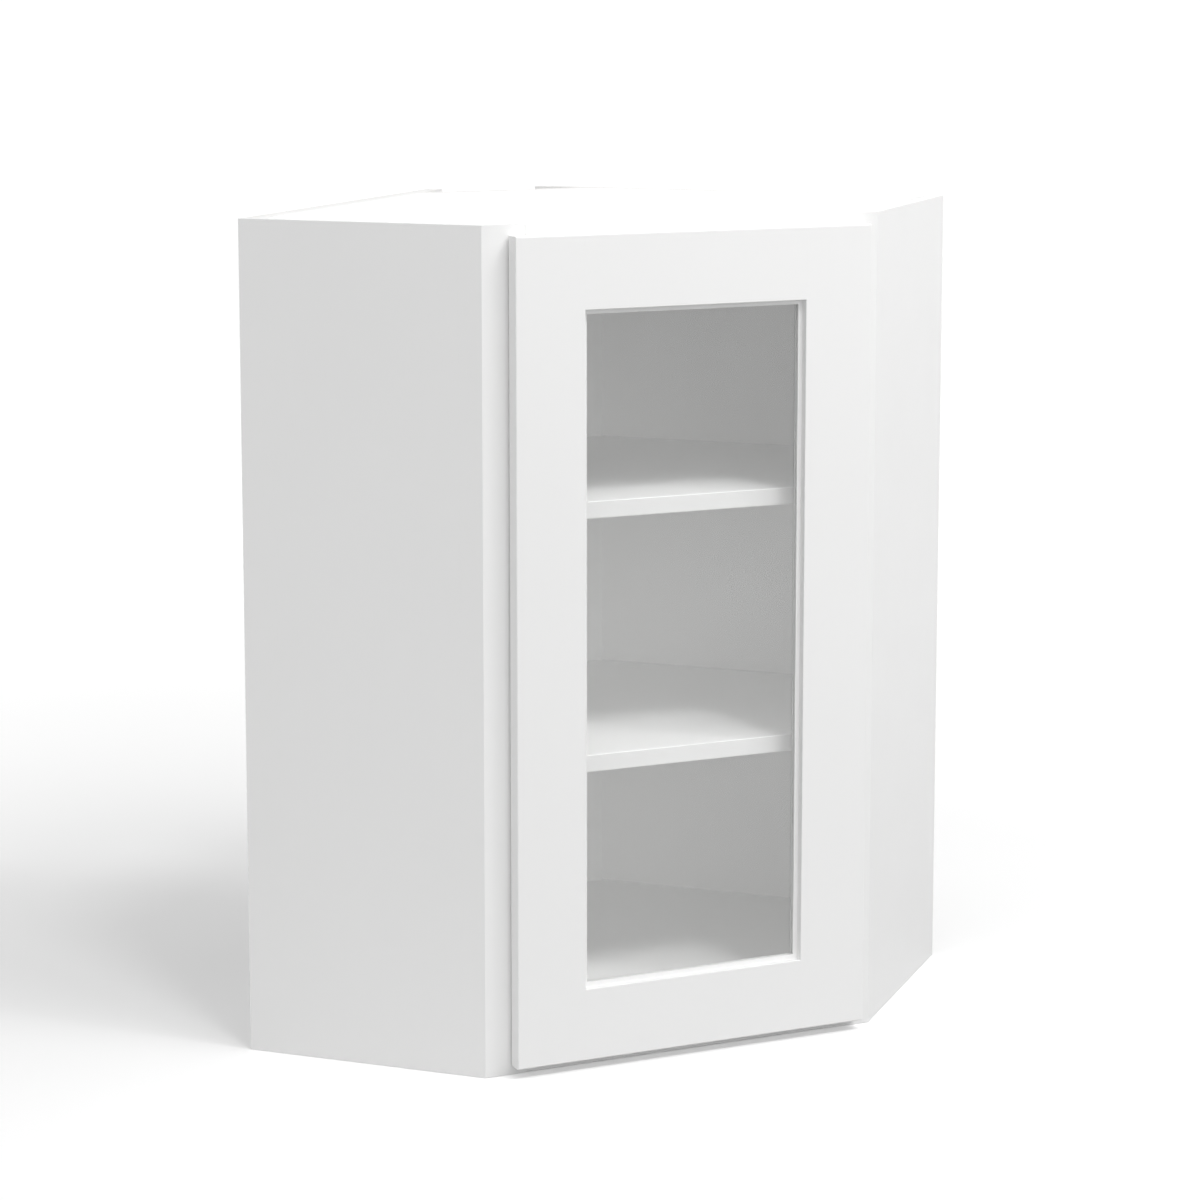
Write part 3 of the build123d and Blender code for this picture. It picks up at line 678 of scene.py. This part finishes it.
def makeFloor():
    mesh = bpy.data.meshes.new("studioFloor")
    shape = bmesh.new()
    bmesh.ops.create_circle(shape, cap_ends=True, segments=floorLook["sides"], radius=floorLook["radius"])
    bmesh.ops.translate(shape, verts=shape.verts, vec=(0.0, 0.0, -floorLook["drop"]))
    shape.to_mesh(mesh)
    shape.free()
    floor = bpy.data.objects.new("studioFloor", mesh)
    scene.collection.objects.link(floor)
    material, tree, shader, vector = startMaterial("paleFloor")
    patches = noise(tree, vector, floorLook["patchScale"])
    pale, deeper = floorLook["seen"], floorLook["seen"] * floorLook["patchTone"]
    seen = blendColour(tree, patches, grey(pale), grey(deeper))
    path = addNode(tree, "ShaderNodeLightPath").outputs
    # the floor looks overexposed, yet lights the cabinet less from below
    colour = blendColour(tree, path["Is Diffuse Ray"], seen, grey(floorLook["lighting"]))
    feed(tree, shader.inputs["Base Color"], colour)
    feed(tree, shader.inputs["Roughness"], 1.0)
    feed(tree, shader.inputs["Specular IOR Level"], 0.0)
    away = addNode(tree, "ShaderNodeVectorMath", operation="LENGTH")
    feed(tree, away.inputs[0], vector)
    glow = spread(tree, away.outputs["Value"], floorLook["glowFrom"], floorLook["glowTo"],
                  floorLook["nearGlow"], floorLook["farGlow"])
    glow = calc(tree, "MULTIPLY_ADD", path["Is Singular Ray"], floorLook["mirrored"], glow)
    glow = calc(tree, "MULTIPLY", glow, calc(tree, "SUBTRACT", 1.0, path["Is Diffuse Ray"]))
    feed(tree, shader.inputs["Emission Strength"], glow)
    feed(tree, shader.inputs["Emission Color"], white)
    mesh.materials.append(material)


makeFloor()

# two far lights draw the long shadows, three softboxes stand near, and the room has pale bright walls
farLights = {
    "frontKey": dict(fromFront=5.0, height=58.0, width=10.0, strength=0.484),
    "sideKey": dict(fromFront=45.0, height=52.0, width=10.0, strength=0.393),
}
softboxes = {
    "smallBox": dict(fromFront=18.0, height=53.0, away=3.0, size=0.8, power=17.2),
    "sideBox": dict(fromFront=60.0, height=50.0, away=3.0, size=2.4, power=34.3),
    "topBox": dict(fromFront=10.0, height=75.0, away=3.0, size=2.4, power=10.3),
}
roomWalls = {
    "frontWall": dict(fromFront=0.0, height=5.0, tight=8.0, strength=2.13),
    "leftWall": dict(fromFront=-90.0, height=25.0, tight=3.0, strength=1.12),
    "leftFrontWall": dict(fromFront=-60.0, height=20.0, tight=4.0, strength=0.25),
    "rearWall": dict(fromFront=180.0, height=20.0, tight=4.0, strength=0.1),
}
roomSeen = 1.0  # how bright the room looks, apart from what its walls give
lightBounces = 10  # a white cabinet's inside is lit by many bounces


def lightDirection(look):
    turn, rise = math.radians(look["fromFront"]), math.radians(look["height"])
    return Vector((math.sin(turn) * math.cos(rise), -math.cos(turn) * math.cos(rise), math.sin(rise)))


def setUp(lamp, look):
    stand = bpy.data.objects.new(lamp.name, lamp)
    towards = lightDirection(look)
    stand.rotation_euler = towards.to_track_quat("Z", "Y").to_euler()
    stand.location = towards * look.get("away", 0.0) + (cadLow + cadHigh) / 2
    scene.collection.objects.link(stand)


def makeLights():
    for name, look in farLights.items():
        sun = bpy.data.lights.new(name, "SUN")  # even over the whole floor
        sun.angle = math.radians(look["width"])
        sun.energy = look["strength"]
        setUp(sun, look)
    for name, look in softboxes.items():
        panel = bpy.data.lights.new(name, "AREA")
        panel.size = look["size"]
        panel.energy = look["power"]
        setUp(panel, look)


def backdrop(tree, strength):
    return feedAll(tree, addNode(tree, "ShaderNodeBackground"), white, strength)


def makeRoom():
    room = bpy.data.worlds.new("room")
    room.use_nodes = True
    tree = room.node_tree
    tree.nodes.clear()
    direction = addNode(tree, "ShaderNodeTexCoord").outputs["Generated"]
    glow = 0.0
    for look in roomWalls.values():  # each wall's glow fades away from its middle
        towards = calc(tree, "MAXIMUM", dot(tree, direction, lightDirection(look)), 0.0)
        wall = calc(tree, "POWER", towards, look["tight"])
        glow = calc(tree, "MULTIPLY_ADD", wall, look["strength"], glow)
    path = addNode(tree, "ShaderNodeLightPath").outputs
    seen = calc(tree, "MAXIMUM", path["Is Camera Ray"], path["Is Glossy Ray"])
    seen = calc(tree, "MAXIMUM", seen, path["Is Transmission Ray"])
    shown = blendShader(tree, seen, backdrop(tree, glow), backdrop(tree, roomSeen))
    feed(tree, addNode(tree, "ShaderNodeOutputWorld").inputs["Surface"], shown)
    scene.world = room
    scene.cycles.diffuse_bounces = lightBounces


makeLights()
makeRoom()
scene.view_settings.view_transform = "Standard"
print("studio ready")

cameraLook = dict(place=(-1.56608, -3.48922, 1.18542), yaw=24.4802, pitch=8.3481, lens=101.343,
                  shiftY=-0.12, sensor=36.0, nearest=0.05, farthest=500.0)


def makeCamera():
    view = bpy.data.cameras.new("photoCamera")
    view.sensor_width = cameraLook["sensor"]
    view.lens = cameraLook["lens"]
    view.shift_y = cameraLook["shiftY"]
    view.clip_start = cameraLook["nearest"]
    view.clip_end = cameraLook["farthest"]
    camera = bpy.data.objects.new("photoCamera", view)
    camera.location = cameraLook["place"]
    tilt, turn = math.radians(90.0 - cameraLook["pitch"]), math.radians(-cameraLook["yaw"])
    camera.rotation_euler = (tilt, 0.0, turn)
    scene.collection.objects.link(camera)
    scene.camera = camera


makeCamera()
print("camera ready")
